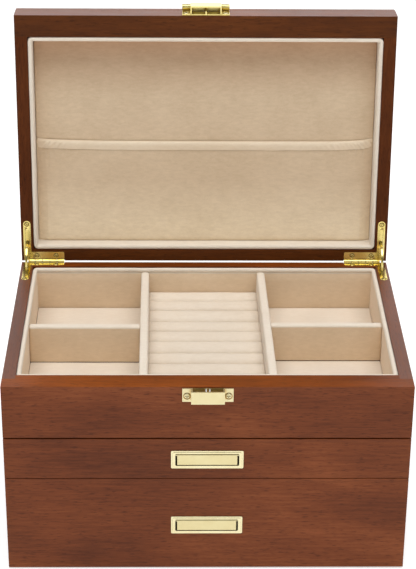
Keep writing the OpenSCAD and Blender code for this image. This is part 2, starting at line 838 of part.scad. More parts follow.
pull_flap(upper_pull_z);  // upper_pull_flap
drawer_front(lower_front_z, lower_front_h, lower_pull_z);  // lower_drawer_front
drawer_side(-1, lower_box_z0, lower_box_z1);  // lower_drawer_left_side
drawer_side(1, lower_box_z0, lower_box_z1);  // lower_drawer_right_side
drawer_back(lower_box_z0, lower_box_z1);  // lower_drawer_back
drawer_bottom(lower_box_z0);  // lower_drawer_bottom
drawer_liner(lower_box_z0, lower_box_z1);  // lower_drawer_liner
pull_frame(lower_pull_z);  // lower_pull_frame
pull_pin(lower_pull_z);  // lower_pull_pin
pull_flap(lower_pull_z);  // lower_pull_flap
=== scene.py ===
import json
import math

import bmesh
import bpy
from mathutils import Matrix, Vector, noise


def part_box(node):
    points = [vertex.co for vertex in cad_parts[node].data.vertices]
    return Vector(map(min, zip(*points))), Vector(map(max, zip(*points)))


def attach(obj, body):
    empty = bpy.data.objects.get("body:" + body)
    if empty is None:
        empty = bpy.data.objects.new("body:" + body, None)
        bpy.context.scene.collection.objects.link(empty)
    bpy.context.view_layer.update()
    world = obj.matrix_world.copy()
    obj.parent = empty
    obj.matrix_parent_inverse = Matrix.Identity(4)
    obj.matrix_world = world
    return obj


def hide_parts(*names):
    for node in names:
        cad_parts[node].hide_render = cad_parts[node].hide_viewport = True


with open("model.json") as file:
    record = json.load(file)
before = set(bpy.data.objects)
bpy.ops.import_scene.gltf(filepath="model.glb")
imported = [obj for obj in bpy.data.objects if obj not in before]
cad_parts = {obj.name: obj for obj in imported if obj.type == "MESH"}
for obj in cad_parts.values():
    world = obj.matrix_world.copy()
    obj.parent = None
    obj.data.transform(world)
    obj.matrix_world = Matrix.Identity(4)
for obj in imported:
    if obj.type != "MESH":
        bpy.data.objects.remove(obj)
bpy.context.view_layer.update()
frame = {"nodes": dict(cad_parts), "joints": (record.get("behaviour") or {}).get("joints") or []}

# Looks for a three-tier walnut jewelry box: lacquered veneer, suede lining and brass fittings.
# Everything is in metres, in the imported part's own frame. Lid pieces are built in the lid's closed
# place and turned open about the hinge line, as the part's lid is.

MM = 0.001
scene = bpy.context.scene
noise.seed_set(7)     # noise_vector takes its offsets from the clock until a seed is set


# ---------- places taken from the frame ----------

JOINTS = {joint["name"]: joint for joint in frame["joints"]}
HINGE = Vector(JOINTS["lid_hinge"]["pos_m"])
LID_ANGLE = math.radians(JOINTS["lid_hinge"]["range_deg"][1])
OPEN = (Matrix.Translation(HINGE) @ Matrix.Rotation(-LID_ANGLE, 4, "X")
        @ Matrix.Translation(-HINGE))
CLOSED = OPEN.inverted()


def closed_box(node):
    """Lowest and highest corner of a lid node, with the lid turned shut."""
    points = [CLOSED @ vertex.co for vertex in frame["nodes"][node].data.vertices]
    low = Vector([min(p[i] for p in points) for i in range(3)])
    high = Vector([max(p[i] for p in points) for i in range(3)])
    return low, high


# ---------- camera, lights and floor ----------

CAMERA_PLACE = Vector((-22.5, -1249.0, 817.7)) * MM
CAMERA_PITCH = math.radians(26.67)    # below the horizon
CAMERA_YAW = math.radians(-1.09)
CAMERA_ROLL = math.radians(0.55)
CAMERA_LENS = 115.5                   # mm
SENSOR = 36.0                         # mm along its long side
ROOM = 0.17                           # brightness of the room round the table
BACKDROP = 2.2                        # and of the backdrop behind it
BACKDROP_ROUND = (0.0, 0.7)           # how far round to the back it starts, and where it is full
BACKDROP_HIGH = (0.75, 0.3)           # how high up it ends, and where it is full
KEY_POWER = 81.0                      # watts in the softbox overhead
KEY_PLACE = (0.0, -0.45, 3.0)
KEY_AIM = (0.0, 0.0, 0.1)
KEY_SIZE = (3.4, 1.9)
FILL_POWER = 3.4                      # watts in the low one in front
FILL_PLACE = (0.0, -1.3, 0.35)
FILL_AIM = (0.0, 0.0, 0.2)
FILL_SIZE = (1.6, 0.8)
FLOOR_REACH = 16.0


def make_camera():
    """The photo's camera, solved from the box's own edges."""
    data = bpy.data.cameras.new("camera")
    data.lens = CAMERA_LENS
    data.sensor_width = SENSOR
    data.clip_start = 0.05
    data.clip_end = 20.0
    camera = bpy.data.objects.new("camera", data)
    scene.collection.objects.link(camera)
    turn = (Matrix.Rotation(CAMERA_YAW, 4, "Z")
            @ Matrix.Rotation(math.pi / 2 - CAMERA_PITCH, 4, "X")
            @ Matrix.Rotation(CAMERA_ROLL, 4, "Z"))
    camera.matrix_world = Matrix.Translation(CAMERA_PLACE) @ turn
    scene.camera = camera


def make_area_light(name, place, target, size, power):
    """A rectangular softbox at a place, aimed at a target."""
    data = bpy.data.lights.new(name, "AREA")
    data.shape = "RECTANGLE"
    data.size, data.size_y = size
    data.energy = power
    light = bpy.data.objects.new(name, data)
    scene.collection.objects.link(light)
    light.location = place
    light.rotation_euler = (Vector(target) - Vector(place)).to_track_quat("-Z", "Y").to_euler()


def make_world():
    """A dim room with a bright backdrop low behind the object."""
    world = bpy.data.worlds.new("studio")
    scene.world = world
    world.use_nodes = True
    tree = world.node_tree
    background = tree.nodes["Background"]
    direction = tree.nodes.new("ShaderNodeSeparateXYZ")
    tree.links.new(tree.nodes.new("ShaderNodeTexCoord").outputs["Generated"], direction.inputs[0])

    def fade(source, start, end):
        node = tree.nodes.new("ShaderNodeMapRange")
        node.interpolation_type = "SMOOTHSTEP"
        node.inputs["From Min"].default_value = start
        node.inputs["From Max"].default_value = end
        tree.links.new(source, node.inputs["Value"])
        return node.outputs["Result"]

    behind = fade(direction.outputs["Y"], *BACKDROP_ROUND)
    low = fade(direction.outputs["Z"], *BACKDROP_HIGH)
    glow = tree.nodes.new("ShaderNodeMath")
    glow.operation = "MULTIPLY"
    tree.links.new(behind, glow.inputs[0])
    tree.links.new(low, glow.inputs[1])
    strength = tree.nodes.new("ShaderNodeMapRange")
    strength.inputs["To Min"].default_value = ROOM
    strength.inputs["To Max"].default_value = BACKDROP
    tree.links.new(glow.outputs[0], strength.inputs["Value"])
    tree.links.new(strength.outputs["Result"], background.inputs["Strength"])
    background.inputs["Color"].default_value = (1.0, 1.0, 1.0, 1.0)


def make_studio():
    """Lights, room and the white floor."""
    make_world()
    make_area_light("softbox_top", KEY_PLACE, KEY_AIM, KEY_SIZE, KEY_POWER)
    make_area_light("softbox_front", FILL_PLACE, FILL_AIM, FILL_SIZE, FILL_POWER)
    scene.view_settings.view_transform = "Standard"

    bm = bmesh.new()
    bmesh.ops.create_grid(bm, x_segments=8, y_segments=8, size=FLOOR_REACH)
    mesh = bpy.data.meshes.new("floor")
    bm.to_mesh(mesh)
    bm.free()
    floor = bpy.data.objects.new("floor", mesh)
    scene.collection.objects.link(floor)
    mesh.materials.append(plain_paper())


# ---------- material helpers ----------

class Graph:
    """A material's node tree, with short calls for the nodes that the finishes below use."""

    def __init__(self, name):
        self.material = bpy.data.materials.new(name)
        self.material.use_nodes = True
        self.tree = self.material.node_tree
        self.shader = self.tree.nodes["Principled BSDF"]
        self.place = self.tree.nodes.new("ShaderNodeTexCoord").outputs["Object"]

    def node(self, kind, links=(), **settings):
        """A new node with its settings, and with a link or a value for each socket named."""
        made = self.tree.nodes.new(kind)
        for key, value in settings.items():
            setattr(made, key, value)
        for socket, value in dict(links).items():
            self.feed(made.inputs[socket], value)
        return made

    def feed(self, socket, value):
        """Links a socket to another node's output, or sets its value."""
        if isinstance(value, bpy.types.NodeSocket):
            self.tree.links.new(value, socket)
        else:
            socket.default_value = value

    def stretched(self, scale, offset=(0.0, 0.0, 0.0)):
        """The place on the piece, scaled along each axis."""
        mapping = self.node("ShaderNodeMapping", {"Vector": self.place, "Location": offset, "Scale": scale})
        return mapping.outputs["Vector"]

    def noise(self, vector, detail=4.0, roughness=0.5, distortion=0.0):
        """Noise from 0 to 1, with one cell for each unit of the vector."""
        made = self.node("ShaderNodeTexNoise", {
            "Vector": vector, "Scale": 1.0, "Detail": detail,
            "Roughness": roughness, "Distortion": distortion})
        return made.outputs["Fac"]

    def ramp(self, value, stops):
        """Colours or grey levels at stops along a value from 0 to 1."""
        made = self.node("ShaderNodeValToRGB", {"Fac": value})
        points = made.color_ramp.elements
        while len(points) < len(stops):
            points.new(0.5)
        for point, (at, colour) in zip(points, stops):
            point.position = at
            point.color = colour if len(colour) == 4 else (*colour, 1.0)
        return made.outputs["Color"]

    def grey(self, value, low_at, high_at, low=0.0, high=1.0):
        """A value that runs from low to high while another runs between two marks."""
        made = self.node("ShaderNodeMapRange", {
            "Value": value, "From Min": low_at, "From Max": high_at, "To Min": low, "To Max": high})
        return made.outputs["Result"]

    def math(self, operation, first, second):
        made = self.node("ShaderNodeMath", operation=operation)
        self.feed(made.inputs[0], first)
        self.feed(made.inputs[1], second)
        return made.outputs[0]

    def mix(self, share, first, second, blend="MIX"):
        made = self.node("ShaderNodeMix", data_type="RGBA", blend_type=blend)
        self.feed(made.inputs[0], share)
        self.feed(made.inputs[6], first)
        self.feed(made.inputs[7], second)
        return made.outputs[2]

    def multiplied(self, colour, gains):
        """A colour with each channel multiplied by a gain."""
        return self.mix(1.0, colour, (*gains, 1.0), blend="MULTIPLY")

    def split_normal(self):
        """The surface's direction on the piece, axis by axis."""
        coordinates = self.node("ShaderNodeTexCoord")
        return self.node("ShaderNodeSeparateXYZ", {0: coordinates.outputs["Normal"]}).outputs

    def bump(self, height, strength, distance):
        """A surface direction roughened by a height."""
        links = {"Height": height, "Strength": strength, "Distance": distance}
        return self.node("ShaderNodeBump", links).outputs["Normal"]

    def finish(self, **sockets):
        """The material, once the shader's sockets are fed."""
        for name, value in sockets.items():
            self.feed(self.shader.inputs[name.replace("_", " ")], value)
        return self.material


def srgb(red, green, blue):
    """Linear colour from 0-255 screen values."""
    def linear(value):
        value /= 255.0
        return value / 12.92 if value <= 0.04045 else ((value + 0.055) / 1.055) ** 2.4
    return linear(red), linear(green), linear(blue), 1.0


def plain_paper():
    """The white floor under the object, lit a little from within."""
    g = Graph("floor_paper")
    tone = g.noise(g.stretched((3.0, 3.0, 3.0)), detail=2.0)
    colour = g.ramp(tone, [(0.3, (0.62, 0.62, 0.62)), (0.7, (0.66, 0.66, 0.66))])
    return g.finish(Base_Color=colour, Roughness=0.9, Emission_Color=(1.0, 1.0, 1.0, 1.0),
                    Emission_Strength=0.58)


# ---------- finishes ----------

GRAIN_LONG = 42.0      # noise cells a metre along the grain
GRAIN_ACROSS = 620.0   # and across it
VENEER = ((0.34, (98, 51, 29)), (0.45, (116, 61, 34)), (0.55, (129, 69, 38)), (0.66, (146, 81, 46)))
PORES = (74, 38, 23)
# painted light: the warm gain given to faces that look up
TOP_LIGHT_TINT = (1.2, 1.0, 0.35)


def walnut(name, grain, tint, shine, offset=0.0, blueness=1.0, painted_top_light=False, unshaded_tint=None):
    """Lacquered walnut veneer. grain is the axis the grain runs along, 0 to 2.

    tint is how bright the wood is and offset moves its figure along, so that no two boards match.
    The last argument lightens every face but the ones that look to the front, which keep the low tint as
    painted shade for the open lid's darker rim.
    """
    def along(long, across):
        scale = [across] * 3
        scale[grain] = long
        return tuple(scale)

    def tone(red, green, blue):
        r, g_, b, _ = srgb(red, green, blue)
        return r * tint, g_ * tint, b * tint * blueness, 1.0

    g = Graph(name)
    shift = (offset, offset * 0.7, offset * 1.3)
    drift = g.noise(g.stretched(along(3.0, 9.0), shift), detail=2.0)
    wander = g.node("ShaderNodeVectorMath", {0: g.stretched(along(GRAIN_LONG, GRAIN_ACROSS), shift)},
                    operation="ADD")
    swirl = g.node("ShaderNodeCombineXYZ")
    for axis in range(3):
        if axis != grain:
            g.feed(swirl.inputs[axis], g.math("MULTIPLY", drift, 4.0))
    g.feed(wander.inputs[1], swirl.outputs[0])
    streaks = g.noise(wander.outputs[0], detail=5.0, roughness=0.62)
    broad = g.noise(g.stretched(along(8.0, 24.0), shift), detail=3.0, distortion=0.4)
    pores = g.noise(g.stretched(along(170.0, 1250.0), shift), detail=2.0)
    pore_mask = g.grey(pores, 0.56, 0.70)
    figure = g.math("ADD", g.math("MULTIPLY", streaks, 0.42), g.math("MULTIPLY", broad, 0.58))
    colour = g.ramp(figure, [(at, tone(*shade)) for at, shade in VENEER])
    colour = g.mix(g.math("MULTIPLY", pore_mask, 0.55), colour, tone(*PORES))
    if painted_top_light:
        # painted light: the upward faces are tinted warmer and brighter, as the light from overhead shows
        # them
        share = g.grey(g.split_normal()["Z"], 0.3, 0.9)
        colour = g.mix(share, colour, (*TOP_LIGHT_TINT, 1.0), blend="MULTIPLY")
    if unshaded_tint:
        # painted shade stays on the faces that look to the front; the others are lightened
        share = g.grey(g.split_normal()["Y"], -0.85, -0.35)
        gain = unshaded_tint / tint
        colour = g.mix(share, colour, g.multiplied(colour, (gain, gain, gain / blueness)))
    rough = g.grey(streaks, 0.3, 0.7, 0.30, 0.42)
    height = g.math("SUBTRACT", g.math("MULTIPLY", streaks, 0.25), g.math("MULTIPLY", pore_mask, 0.6))
    normal = g.bump(height, 0.22, 0.3 * MM)
    return g.finish(Base_Color=colour, Roughness=rough, Normal=normal, Specular_IOR_Level=shine)


LID_FOOT_PAINTED_LIGHT = (0.225, 0.185)          # heights between which the open lid's lining gets painted light towards its foot
LID_FOOT_LIGHT_GAIN = (1.28, 1.37, 1.42)
LID_TOP_PAINTED_SHADE = (0.295, 0.340)           # and those between which it gets painted shade towards its top, where the lid's rail shades it
LID_TOP_SHADE_GAIN = (0.72, 0.59, 0.525)


def suede(name, light, dark, painted_lid_light=False):
    """Brushed suede cloth with soft mottling and a fine nap.

    On the open lid it can take painted light at its foot and painted shade near its top, under the lid's
    rail.
    """
    g = Graph(name)
    cloud = g.noise(g.stretched((38.0, 38.0, 38.0)), detail=3.0, roughness=0.55)
    brush = g.noise(g.stretched((170.0, 460.0, 460.0)), detail=4.0, roughness=0.65, distortion=0.4)
    nap = g.noise(g.stretched((2600.0, 2600.0, 2600.0)), detail=3.0, roughness=0.7)
    blotch = g.math("ADD", g.math("MULTIPLY", cloud, 0.4), g.math("MULTIPLY", brush, 0.6))
    colour = g.ramp(blotch, [(0.36, dark), (0.64, light)])
    colour = g.mix(g.grey(nap, 0.35, 0.75, 0.0, 0.16), colour, srgb(250, 240, 226))
    if painted_lid_light:
        # painted light at the lid's foot and painted shade under its top rail
        up = g.node("ShaderNodeSeparateXYZ", {0: g.place}).outputs["Z"]
        foot = g.grey(up, *LID_FOOT_PAINTED_LIGHT)
        top = g.grey(up, *LID_TOP_PAINTED_SHADE)
        colour = g.mix(foot, colour, g.multiplied(colour, LID_FOOT_LIGHT_GAIN))
        colour = g.mix(top, colour, g.multiplied(colour, LID_TOP_SHADE_GAIN))
    height = g.math("ADD", g.math("MULTIPLY", nap, 0.6), g.math("MULTIPLY", brush, 0.4))
    normal = g.bump(height, 0.35, 0.25 * MM)
    return g.finish(Base_Color=colour, Roughness=0.95, Normal=normal, Specular_IOR_Level=0.15,
                    Sheen_Weight=0.25, Sheen_Roughness=0.5)


# painted shade: the dark colour that recesses in the metal take by default
RECESS_SHADE = srgb(116, 80, 28)
RECESS_REACH = 1.3 * MM


def polished_metal(name, light, dark, rough, recess_paint=RECESS_SHADE, reach=RECESS_REACH, metallic=1.0):
    """Bright plated metal with faint cloudiness and fine brushing, with a colour painted into its recesses
    from an occlusion node: painted shade, or painted light where that colour is pale.
    """
    g = Graph(name)
    cloud = g.noise(g.stretched((90.0, 90.0, 90.0)), detail=3.0)
    hairs = g.noise(g.stretched((400.0, 5200.0, 5200.0)), detail=2.0)
    colour = g.ramp(cloud, [(0.3, dark), (0.7, light)])
    # painted shade in recesses, found by occlusion; the metal turns partly diffuse there too
    openness = g.node("ShaderNodeAmbientOcclusion", {"Distance": reach}, samples=12)
    unshaded = g.grey(openness.outputs["AO"], 0.25, 0.8)
    colour = g.mix(unshaded, recess_paint, colour)
    metal = g.math("MULTIPLY", g.math("ADD", g.math("MULTIPLY", unshaded, 0.7), 0.3), metallic)
    roughness = g.grey(g.math("ADD", g.math("MULTIPLY", cloud, 0.5), g.math("MULTIPLY", hairs, 0.5)),
                       0.3, 0.7, rough * 0.75, rough * 1.3)
    normal = g.bump(hairs, 0.03, 0.03 * MM)
    return g.finish(Base_Color=colour, Metallic=metal, Roughness=roughness, Normal=normal)


def felt(name):
    """Dark felt with a fibrous nap."""
    g = Graph(name)
    fibres = g.noise(g.stretched((1500.0, 1500.0, 1500.0)), detail=4.0, roughness=0.7)
    colour = g.ramp(fibres, [(0.35, srgb(28, 22, 20)), (0.7, srgb(58, 48, 44))])
    return g.finish(Base_Color=colour, Roughness=1.0, Normal=g.bump(fibres, 0.6, 0.4 * MM),
                    Sheen_Weight=0.3)


# painted light on its upward faces
WALNUT_X = walnut("walnut_grain_across", 0, tint=0.86, shine=0.12, painted_top_light=True)
WALNUT_Y = walnut("walnut_grain_front_to_back", 1, tint=0.78, offset=3.1, shine=0.3)
# painted shade: the lid's wood is a darker, less blue copy of the walnut, kept on its faces that look to the
# front
WALNUT_Z = walnut("walnut_lid_upright", 2, tint=0.47, offset=5.7, shine=0.04, blueness=0.8, unshaded_tint=0.8)
WALNUT_LID = walnut("walnut_lid", 0, tint=0.48, offset=8.3, shine=0.08, blueness=0.5, unshaded_tint=0.8)
SUEDE = suede("cream_suede", srgb(228, 215, 198), srgb(221, 206, 187))
# painted shade: the cream suede darkened and tanned for walls lit only by bounce
SUEDE_WALL_SHADED = suede("cream_suede_painted_wall_shade", srgb(235, 211, 180), srgb(224, 199, 166))
# painted shade: the cream suede darkened and tanned for the upright lid, lit mostly by bounce
SUEDE_LID_SHADED = suede("cream_suede_lid_painted_shade", srgb(217, 193, 162), srgb(203, 178, 146), painted_lid_light=True)
PIPING = suede("cream_suede_rolled", srgb(232, 221, 205), srgb(226, 212, 194))
# painted light: a lighter copy of the lid's suede, for the hem's top that catches the overhead light
SUEDE_HEM_LIT = suede("suede_hem_painted_light", srgb(238, 220, 194), srgb(230, 210, 182))
BRASS = polished_metal("light_brass", srgb(233, 224, 182), srgb(227, 215, 170), 0.26)
# painted light: a golden glow in the catch's recesses, standing in for light caught inside it
CATCH_BRASS = polished_metal("catch_brass", srgb(222, 210, 168), srgb(215, 202, 156), 0.4, srgb(205, 152, 58),
                             reach=3.6 * MM)
# painted light: a golden glow in the hasp's recesses
HASP_BRASS = polished_metal("hasp_brass", srgb(220, 206, 142), srgb(208, 192, 118), 0.3, srgb(204, 172, 62),
                            reach=3.0 * MM)
# painted shade, dark in the screw slots
SCREW_BRASS = polished_metal("screw_brass", srgb(222, 210, 168), srgb(215, 202, 156), 0.4, srgb(70, 48, 14),
                             reach=1.0 * MM)
FLAP_BRASS = polished_metal("satin_brass", srgb(220, 208, 160), srgb(214, 200, 151), 0.32)
# painted shade, dark in the knuckle gaps and round the screws
HINGE_BRASS = polished_metal("yellow_brass", srgb(231, 214, 144), srgb(221, 200, 117), 0.2,
                             srgb(96, 76, 20))
# painted shade, slight, between the spring's legs
STEEL = polished_metal("spring_steel", srgb(250, 250, 252), srgb(236, 238, 242), 0.5, srgb(200, 200, 204),
                       metallic=0.3)
FELT = felt("base_felt_black")


# ---------- CAD pieces: finish and eased edges ----------

WELD_REACH = 0.002 * MM
SHARP_EDGE = math.radians(38)
WOOD_EASE = 0.5 * MM
BRASS_EASE = 0.18 * MM
HINGE_EASE = 0.8 * BRASS_EASE
SPRING_EASE = 0.08 * MM
FELT_EASE = 0.3 * MM


def finish_node(name, material, ease):
    """Gives a CAD piece its material and eased edges. Its own vertices stay as they are."""
    piece = frame["nodes"][name]
    piece.data.materials.clear()
    piece.data.materials.append(material)
    weld = piece.modifiers.new("weld", "WELD")
    weld.merge_threshold = WELD_REACH
    bevel = piece.modifiers.new("eased_edges", "BEVEL")
    bevel.width = ease
    bevel.segments = 2
    bevel.limit_method = "ANGLE"
    bevel.angle_limit = SHARP_EDGE
    bevel.face_strength_mode = "FSTR_AFFECTED"
    normals = piece.modifiers.new("flat_faces", "WEIGHTED_NORMAL")
    normals.use_face_influence = True
    normals.weight = 100
    for polygon in piece.data.polygons:
        polygon.use_smooth = True


for node in ("front_rail", "upper_drawer_front", "lower_drawer_front", "back_panel",
             "upper_drawer_back", "lower_drawer_back"):
    finish_node(node, WALNUT_X, WOOD_EASE)
for node in ("left_side", "right_side", "bottom_board", "drawer_shelf", "tray_board",
             "upper_drawer_left_side", "upper_drawer_right_side", "upper_drawer_bottom",
             "lower_drawer_left_side", "lower_drawer_right_side", "lower_drawer_bottom"):
    finish_node(node, WALNUT_Y, WOOD_EASE)
for node in ("lid_panel", "lid_front_rail", "lid_back_rail"):
    finish_node(node, WALNUT_LID, WOOD_EASE)
for node in ("lid_left_rail", "lid_right_rail"):
    finish_node(node, WALNUT_Z, WOOD_EASE)
for node in ("left_hinge_case_leaf", "right_hinge_case_leaf", "left_hinge_lid_leaf",
             "right_hinge_lid_leaf", "hinge_pins", "left_stay", "right_stay",
             "case_hinge_screws", "lid_hinge_screws"):
    finish_node(node, HINGE_BRASS, HINGE_EASE)
finish_node("catch_plate", CATCH_BRASS, BRASS_EASE)
for node in ("hasp_plate", "hasp_pin", "hasp"):
    finish_node(node, HASP_BRASS, BRASS_EASE)
for node in ("catch_screws", "hasp_screws"):
    finish_node(node, SCREW_BRASS, BRASS_EASE)
for node in ("upper_pull_frame", "upper_pull_pin", "lower_pull_frame", "lower_pull_pin"):
    finish_node(node, BRASS, BRASS_EASE)
for node in ("upper_pull_flap", "lower_pull_flap"):
    finish_node(node, FLAP_BRASS, BRASS_EASE)
finish_node("catch_spring", STEEL, SPRING_EASE)
finish_node("base_felt", FELT, FELT_EASE)


# ---------- mesh helpers ----------

def make_piece(name, points, faces, material, body, lid=False):
    """A mesh piece that rides on a body. Lid pieces are drawn shut and turned open here."""
    mesh = bpy.data.meshes.new(name)
    mesh.from_pydata([Vector(p) for p in points], [], faces)
    mesh.validate()
    if lid:
        mesh.transform(OPEN)
    bm = bmesh.new()
    bm.from_mesh(mesh)
    bmesh.ops.recalc_face_normals(bm, faces=bm.faces)
    bm.to_mesh(mesh)
    bm.free()
    for polygon in mesh.polygons:
        polygon.use_smooth = True
    mesh.materials.append(material)
    piece = bpy.data.objects.new(name, mesh)
    scene.collection.objects.link(piece)
    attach(piece, body)
    return piece


def grid_faces(rows, columns, wrap=False):
    """Quads over a grid of points stored row after row. wrap closes each row into a ring."""
    faces = []
    for i in range(rows - 1):
        here, there = i * columns, (i + 1) * columns
        for j in range(columns if wrap else columns - 1):
            beside = (j + 1) % columns
            faces.append((here + j, here + beside, there + beside, there + j))
    return faces


def rounded_loop(x0, x1, y0, y1, radius):
    """Points round a rectangle with round corners, evenly spread along each side."""
    side_steps, corner_steps = 26, 6
    points = []
    corners = [(x1 - radius, y0 + radius, -90), (x1 - radius, y1 - radius, 0),
               (x0 + radius, y1 - radius, 90), (x0 + radius, y0 + radius, 180)]
    for index, (cx, cy, start) in enumerate(corners):
        for step in range(corner_steps + 1):
            angle = math.radians(start + 90.0 * step / corner_steps)
            points.append((cx + radius * math.cos(angle), cy + radius * math.sin(angle)))
        nx, ny, nstart = corners[(index + 1) % 4]
        a = points[-1]
        angle = math.radians(nstart)
        b = (nx + radius * math.cos(angle), ny + radius * math.sin(angle))
        for step in range(1, side_steps):
            t = step / side_steps
            points.append((a[0] + (b[0] - a[0]) * t, a[1] + (b[1] - a[1]) * t))
    return points


WALL_WOBBLE = 45.0     # noise cells a metre in the soft offsets of each kind of piece
BOARD_WOBBLE = 55.0
PAD_WOBBLE = 60.0
PAD_SOFT = 0.12 * MM   # how far those offsets reach, for each kind of piece
WALL_SOFT = 0.16 * MM
BOARD_SOFT = 0.1 * MM
ROLL_SOFT = 0.2 * MM
EDGE_OVERHANG = 0.3 * MM   # how far a lining's rolled edge hangs over its wall


def wobble(point, scale, amount, seed):
    """A small soft offset that varies with place, the same on every run."""
    return noise.noise_vector(Vector(point) * scale + Vector((seed, seed * 1.7, -seed))) * amount


def sweep_round_box(name, box, profile, corner_radius, material, body, softness, seed, lid=False):
    """Sweeps a profile of (inset, height) round a rectangle: a padded wall with a rolled edge."""
    x0, x1, y0, y1 = box
    points = []
    columns = 0
    for inset, height in profile:
        radius = max(corner_radius - inset, 0.35 * MM)
        loop = rounded_loop(x0 + inset, x1 - inset, y0 + inset, y1 - inset, radius)
        columns = len(loop)
        for x, y in loop:
            p = Vector((x, y, height))
            points.append(p + wobble(p, WALL_WOBBLE, softness, seed))
    faces = grid_faces(len(profile), columns, wrap=True)
    return make_piece(name, points, faces, material, body, lid=lid)


def rolled_wall_profile(thickness, base, top):
    """A wall that rises from base and ends in a rolled edge, from its inner foot to its outer side."""
    roll_steps, roll_from, roll_turn = 12, -55, 235.0
    roll = (thickness + EDGE_OVERHANG) / 2
    rise = top - base
    profile = [(thickness, base), (thickness + 0.02 * MM, base + rise * 0.04)]
    profile += [(thickness, base + (rise - 2.4 * roll) * t) for t in (0.25, 0.5, 0.75, 1.0)]
    for step in range(roll_steps + 1):
        angle = math.radians(roll_from + roll_turn * step / roll_steps)
        profile.append((roll + roll * math.cos(angle), top - roll + roll * math.sin(angle)))
    profile.append((0.0, top - 4 * roll))
    return profile


def pad(name, box, z0, z1, material, body, crown, edge, seed, lid=False, cells=(36, 28)):
    """A thin upholstered pad: a crowned face whose rounded edges tuck down to its base."""
    x0, x1, y0, y1 = box
    columns, rows = cells
    points = []
    for j in range(rows + 1):
        for i in range(columns + 1):
            u, v = i / columns, j / rows
            # cells crowd towards the edges, where the face turns down
            cu = 0.5 - 0.5 * math.cos(math.pi * u)
            cv = 0.5 - 0.5 * math.cos(math.pi * v)
            x, y = x0 + (x1 - x0) * cu, y0 + (y1 - y0) * cv
            nearest = min(x - x0, x1 - x, y - y0, y1 - y)
            t = min(nearest / edge, 1.0)
            turn = math.sqrt(max(0.0, 1.0 - (1.0 - t) ** 2))
            swell = crown * (1.0 - (2 * cu - 1) ** 4) * (1.0 - (2 * cv - 1) ** 4)
            soft = wobble((x, y, 0.0), PAD_WOBBLE, PAD_SOFT, seed)[2] * t
            points.append((x, y, z0 + (z1 - crown - z0) * turn + swell + soft))
    return make_piece(name, points, grid_faces(rows + 1, columns + 1), material, body, lid=lid)


# ---------- lining of the tray ----------

LINER_LOW, LINER_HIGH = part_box("tray_liner")
LINER_T = 3.3 * MM
LINING_CORNER = 4.0 * MM
LINING_LIFT = 0.3 * MM     # a lining's foot stands this far above the bottom of its place
PAD_LIFT = 0.1 * MM        # and a pad's base this far
FLOOR_SKIN = 2.0 * MM
SHADED_WALL_DEPTH = 5.0 * MM     # the walls' painted shade, a darker tan copy of the cream suede, starts this far under the rolled edge
FLOOR_UNDER = 0.4 * MM     # a front floor runs this far in under its cross divider
BACK_GAP = 0.4 * MM        # and a back floor stops this far short of the back wall
TRAY_FLOOR = LINER_LOW.z + FLOOR_SKIN

left_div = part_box("left_divider")
right_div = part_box("right_divider")
left_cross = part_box("left_cross_divider")
right_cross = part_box("right_cross_divider")


def make_tray_lining():
    """The tray's padded walls with their rolled edge, and the floors of its four open bays."""
    profile = rolled_wall_profile(LINER_T, LINER_LOW.z + LINING_LIFT, LINER_HIGH.z)
    box = (LINER_LOW.x, LINER_HIGH.x, LINER_LOW.y, LINER_HIGH.y)
    lining = sweep_round_box("tray_lining", box, profile, LINING_CORNER, PIPING, "case", WALL_SOFT, 0.0)
    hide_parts("tray_liner")
    # painted shade on the wall faces under the rolled edge
    paint_walls(lining, SUEDE_WALL_SHADED, LINER_HIGH.z - SHADED_WALL_DEPTH)

    x_wall = LINER_HIGH.x - LINER_T
    y_low = LINER_LOW.y + LINER_T
    y_high = LINER_HIGH.y - LINER_T - BACK_GAP
    bays = {
        "left_back": (-x_wall, left_div[0].x, left_cross[1].y, y_high),
        "left_front": (-x_wall, left_div[0].x, y_low, left_cross[0].y + FLOOR_UNDER),
        "right_back": (right_div[1].x, x_wall, right_cross[1].y, y_high),
        "right_front": (right_div[1].x, x_wall, y_low, right_cross[0].y + FLOOR_UNDER),
    }
    for index, (bay, box) in enumerate(bays.items()):
        floor = pad(f"tray_floor_{bay}", box, LINER_LOW.z + PAD_LIFT, TRAY_FLOOR, SUEDE, "case",
                    crown=0.3 * MM, edge=0.8 * MM, seed=index * 4.1)
        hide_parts("tray_liner")


def paint_walls(piece, material, below):
    """Gives the faces under a height a second material, for walls under a rolled edge."""
    piece.data.materials.append(material)
    for polygon in piece.data.polygons:
        if polygon.center.z < below:
            polygon.material_index = 1


# The main dividers were set in by hand: how far each end stands off its line, front and back.
SKEW = {"left_divider": (0.1 * MM, -1.2 * MM), "right_divider": (1.2 * MM, -1.4 * MM)}
DIVIDER_ROUND = 1.6 * MM
DIVIDER_CROWN = 0.15 * MM
PIPED_TOP = 1.2 * DIVIDER_ROUND    # how deep the paler cloth runs down from a divider's top, above the cross dividers' painted shade
TUCK_LENGTH = 1.5 * MM             # the cloth is drawn in over this length at each end


def divider_middle(node, y):
    """The x of a main divider's middle at a place along the tray."""
    low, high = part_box(node)
    front, back = SKEW[node]
    t = (y - low.y) / (high.y - low.y)
    return (low.x + high.x) / 2 + front + (back - front) * t


def board_section(half, z0, z1):
    """End view of a padded board: swelled sides and a flat top with round shoulders."""
    side_steps, round_steps = 8, 6
    shoulder = z1 - DIVIDER_ROUND
    right = []
    for step in range(side_steps):
        t = step / side_steps
        right.append((half + DIVIDER_CROWN * math.sin(math.pi * t), z0 + (shoulder - z0) * t))
    for step in range(round_steps + 1):
        angle = math.pi / 2 * step / round_steps
        x = half - DIVIDER_ROUND * (1.0 - math.cos(angle))
        right.append((x, shoulder + DIVIDER_ROUND * math.sin(angle)))
    right.append((half * 0.25, z1 + 0.1 * MM))
    return right + [(-x, z) for x, z in reversed(right)]


